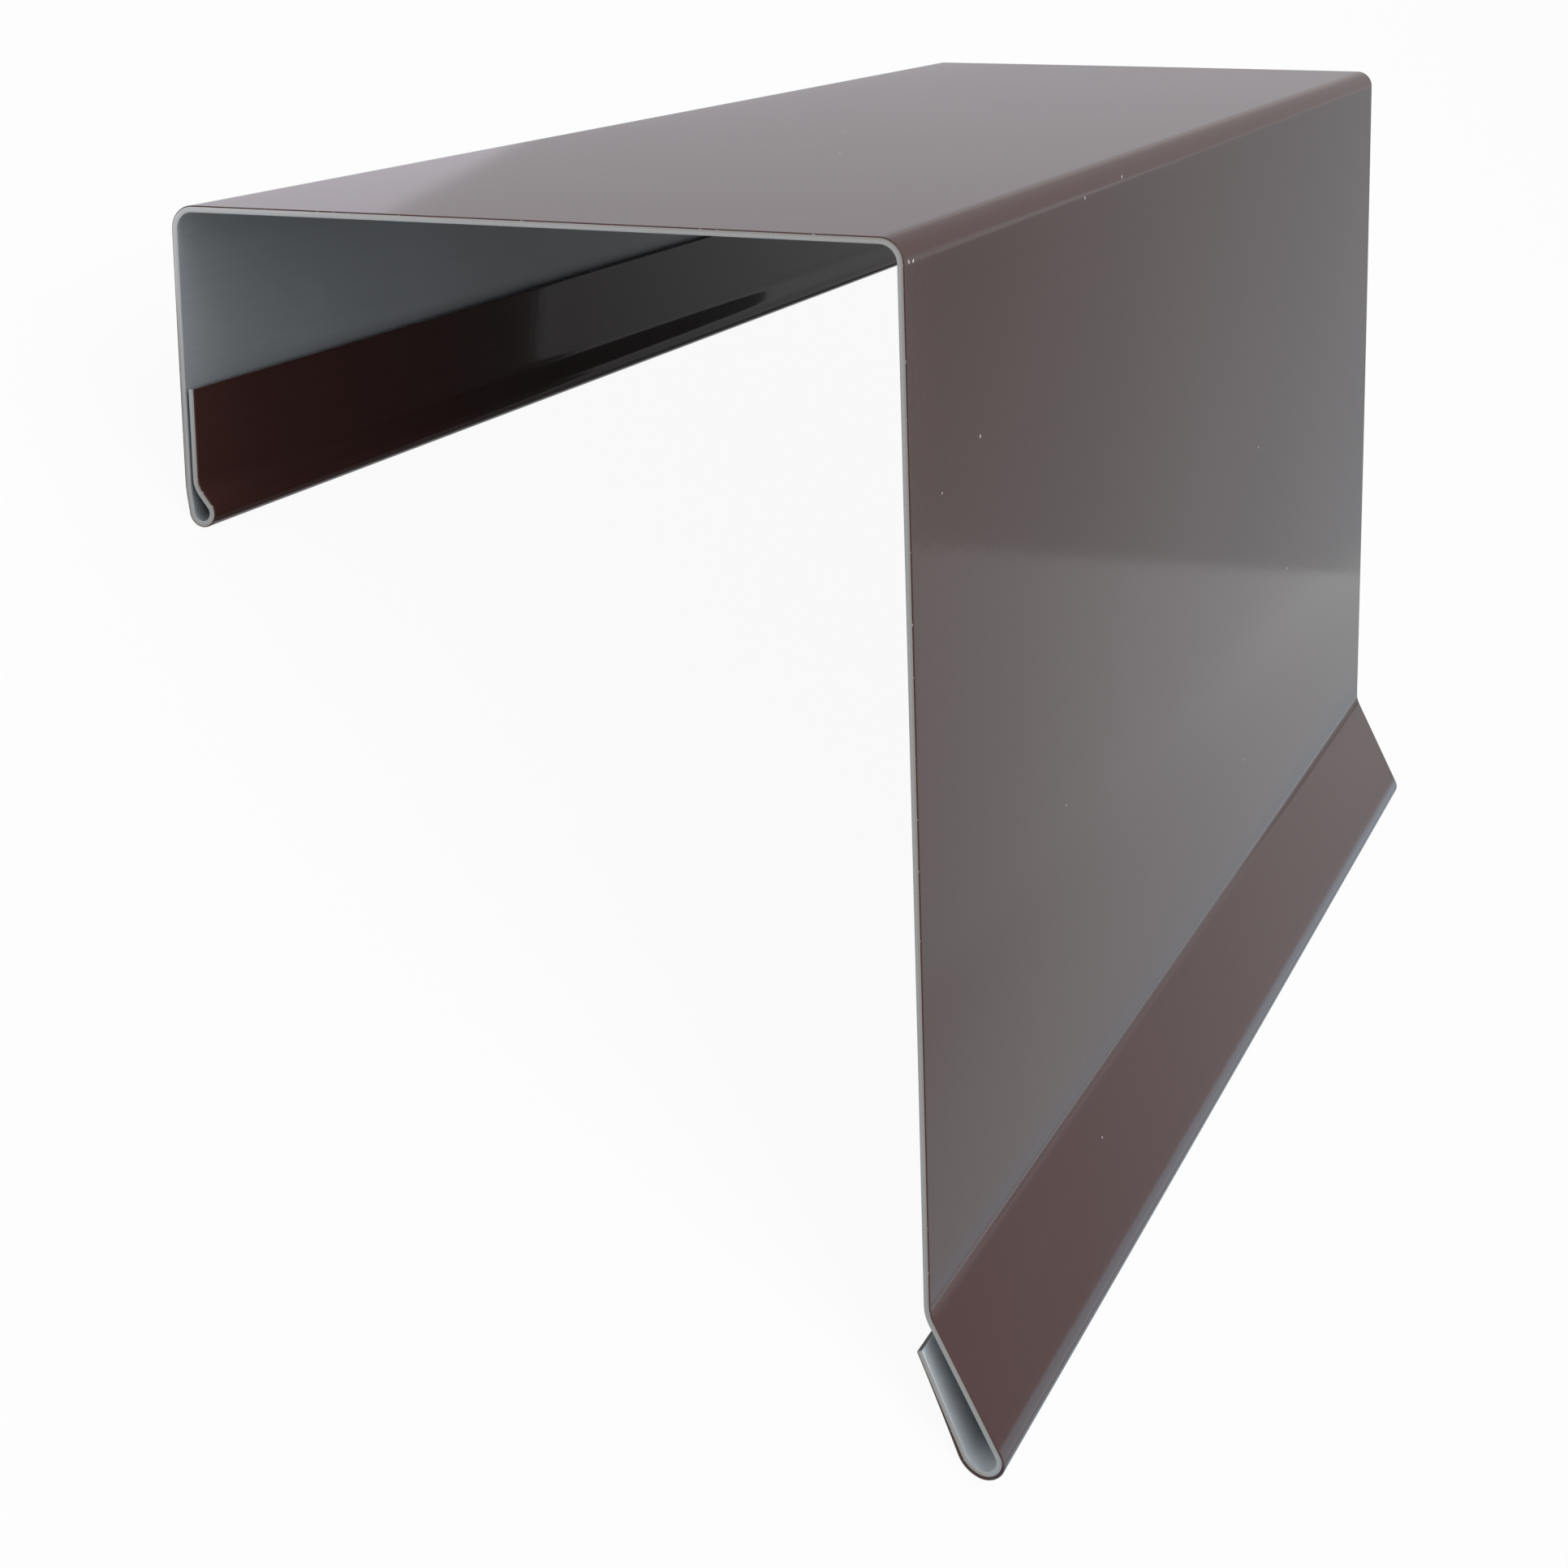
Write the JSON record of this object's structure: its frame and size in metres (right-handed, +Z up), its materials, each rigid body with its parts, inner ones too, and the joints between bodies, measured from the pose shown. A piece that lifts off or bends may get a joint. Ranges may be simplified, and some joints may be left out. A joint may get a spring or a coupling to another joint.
{
  "type": "verge flashing",
  "caption": "Folded sheet-metal verge flashing: top flange, short back leg with a closed hem, long front leg, and a kicked-out drip edge with an open hem.",
  "frame": {"origin": "centre of the object's box on the floor that both hems rest on", "axes": "+Y along the section's length, away from the end that the picture shows near; +Z up; +X towards the kicked-out drip edge; the painted face is up"},
  "size_m": [0.1568, 0.2476, 0.0804],
  "materials": {
    "painted_sheet": "chocolate-brown semi-gloss coil paint on the outer face, grey primer on the inner face, bare sheared edges"
  },
  "bodies": {
    "root": {"verge_flashing": "painted_sheet"}
  },
  "joints": []
}
